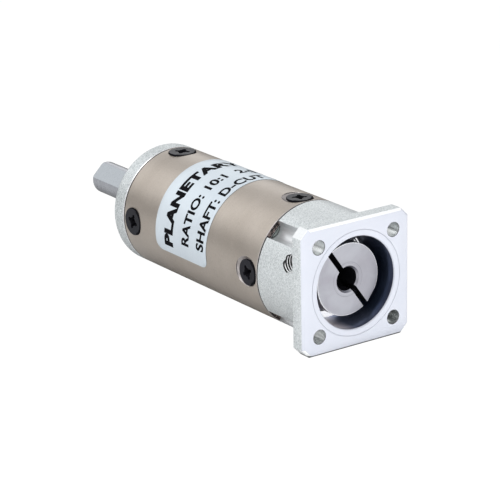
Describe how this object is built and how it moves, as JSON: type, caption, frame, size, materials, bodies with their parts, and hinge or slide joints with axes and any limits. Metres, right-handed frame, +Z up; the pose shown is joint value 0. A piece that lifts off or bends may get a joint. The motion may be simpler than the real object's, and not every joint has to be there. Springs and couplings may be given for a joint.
{
  "type": "planetary gearbox",
  "caption": "Round in-line planetary gearbox with a square stepper-motor flange, clamp-hub input, ring-gear barrel and D-cut output shaft.",
  "frame": {"origin": "on the shaft axis, halfway along the gearbox between the motor's mounting face and the end of the output shaft", "axes": "+X along the shaft axis, from the motor side to the end of the output shaft; +Z up through the row of screws and the label; +Y to the side with the clamp screw's access hole; the square flange's sides are parallel to Y and Z"},
  "size_m": [0.0772, 0.0222, 0.0221],
  "materials": {
    "blasted_aluminium": "fine bead-blasted, clear anodised",
    "nickel_barrel": "satin turned steel with a warm nickel tone",
    "ground_steel": "turned and ground steel",
    "gear_steel": "cut and hardened gear steel",
    "bearing_steel": "polished bearing steel",
    "ball_cage": "pressed brass cage with balls",
    "spring_steel": "dark spring steel",
    "black_oxide": "black oxide on steel screws",
    "seal_rubber": "black nitrile rubber",
    "label_foil": "satin silver-white film sticker"
  },
  "bodies": {
    "housing": {"motor_adapter": "blasted_aluminium", "ring_gear_barrel": "nickel_barrel", "output_cover": "blasted_aluminium", "adapter_screw_1": "black_oxide", "adapter_screw_2": "black_oxide", "adapter_screw_3": "black_oxide", "adapter_screw_4": "black_oxide", "cover_screw_1": "black_oxide", "cover_screw_2": "black_oxide", "cover_screw_3": "black_oxide", "cover_screw_4": "black_oxide", "rating_label": "label_foil", "input_bearing_outer_race": "bearing_steel", "rear_bearing_outer_race": "bearing_steel", "front_bearing_outer_race": "bearing_steel", "bearing_spacer": "ground_steel", "planet_shim_1": "spring_steel", "dust_seal": "seal_rubber"},
    "input": {"input_hub": "ground_steel", "clamp_screw": "black_oxide", "input_bearing_inner_race": "bearing_steel", "hub_circlip": "spring_steel", "sun_gear_stage_1": "gear_steel"},
    "input_cage": {"input_bearing_balls_and_cage": "ball_cage"},
    "carrier_1": {"carrier_stage_1": "ground_steel", "sun_gear_stage_2": "gear_steel", "planet_shim_2": "spring_steel", "planet_pin_1a": "bearing_steel", "planet_pin_1b": "bearing_steel", "planet_pin_1c": "bearing_steel"},
    "output": {"output_shaft": "ground_steel", "planet_pin_2a": "bearing_steel", "planet_pin_2b": "bearing_steel", "planet_pin_2c": "bearing_steel", "rear_bearing_inner_race": "bearing_steel", "front_bearing_inner_race": "bearing_steel", "shaft_circlip": "spring_steel"},
    "output_cages": {"rear_bearing_balls_and_cage": "ball_cage", "front_bearing_balls_and_cage": "ball_cage"},
    "planet_1a": {"planet_gear_1a": "gear_steel"},
    "planet_1b": {"planet_gear_1b": "gear_steel"},
    "planet_1c": {"planet_gear_1c": "gear_steel"},
    "planet_2a": {"planet_gear_2a": "gear_steel"},
    "planet_2b": {"planet_gear_2b": "gear_steel"},
    "planet_2c": {"planet_gear_2c": "gear_steel"}
  },
  "joints": [
    {"name": "output_spin", "type": "hinge", "parent": "housing", "child": "output", "pos_m": [0, 0, 0], "axis": [1, 0, 0], "continuous": true},
    {"name": "carrier_1_spin", "type": "hinge", "parent": "housing", "child": "carrier_1", "pos_m": [0, 0, 0], "axis": [1, 0, 0], "continuous": true},
    {"name": "input_spin", "type": "hinge", "parent": "housing", "child": "input", "pos_m": [0, 0, 0], "axis": [1, 0, 0], "continuous": true},
    {"name": "input_cage_spin", "type": "hinge", "parent": "housing", "child": "input_cage", "pos_m": [0, 0, 0], "axis": [1, 0, 0], "continuous": true},
    {"name": "output_cages_spin", "type": "hinge", "parent": "housing", "child": "output_cages", "pos_m": [0, 0, 0], "axis": [1, 0, 0], "continuous": true},
    {"name": "planet_1a_spin", "type": "hinge", "parent": "carrier_1", "child": "planet_1a", "pos_m": [0, 0, 0.0066], "axis": [1, 0, 0], "continuous": true},
    {"name": "planet_1b_spin", "type": "hinge", "parent": "carrier_1", "child": "planet_1b", "pos_m": [0, -0.00572, -0.0033], "axis": [1, 0, 0], "continuous": true},
    {"name": "planet_1c_spin", "type": "hinge", "parent": "carrier_1", "child": "planet_1c", "pos_m": [0, 0.00572, -0.0033], "axis": [1, 0, 0], "continuous": true},
    {"name": "planet_2a_spin", "type": "hinge", "parent": "output", "child": "planet_2a", "pos_m": [0, 0, 0.0066], "axis": [1, 0, 0], "continuous": true},
    {"name": "planet_2b_spin", "type": "hinge", "parent": "output", "child": "planet_2b", "pos_m": [0, -0.00572, -0.0033], "axis": [1, 0, 0], "continuous": true},
    {"name": "planet_2c_spin", "type": "hinge", "parent": "output", "child": "planet_2c", "pos_m": [0, 0.00572, -0.0033], "axis": [1, 0, 0], "continuous": true}
  ],
  "couplings": [
    {"joint": "carrier_1_spin", "follows": "output_spin", "ratio": 3.1429},
    {"joint": "input_spin", "follows": "output_spin", "ratio": 9.8776},
    {"joint": "input_cage_spin", "follows": "output_spin", "ratio": 4.2384},
    {"joint": "output_cages_spin", "follows": "output_spin", "ratio": 0.41333},
    {"joint": "planet_1a_spin", "follows": "output_spin", "ratio": -11.786},
    {"joint": "planet_1b_spin", "follows": "output_spin", "ratio": -11.786},
    {"joint": "planet_1c_spin", "follows": "output_spin", "ratio": -11.786},
    {"joint": "planet_2a_spin", "follows": "output_spin", "ratio": -3.75},
    {"joint": "planet_2b_spin", "follows": "output_spin", "ratio": -3.75},
    {"joint": "planet_2c_spin", "follows": "output_spin", "ratio": -3.75}
  ]
}
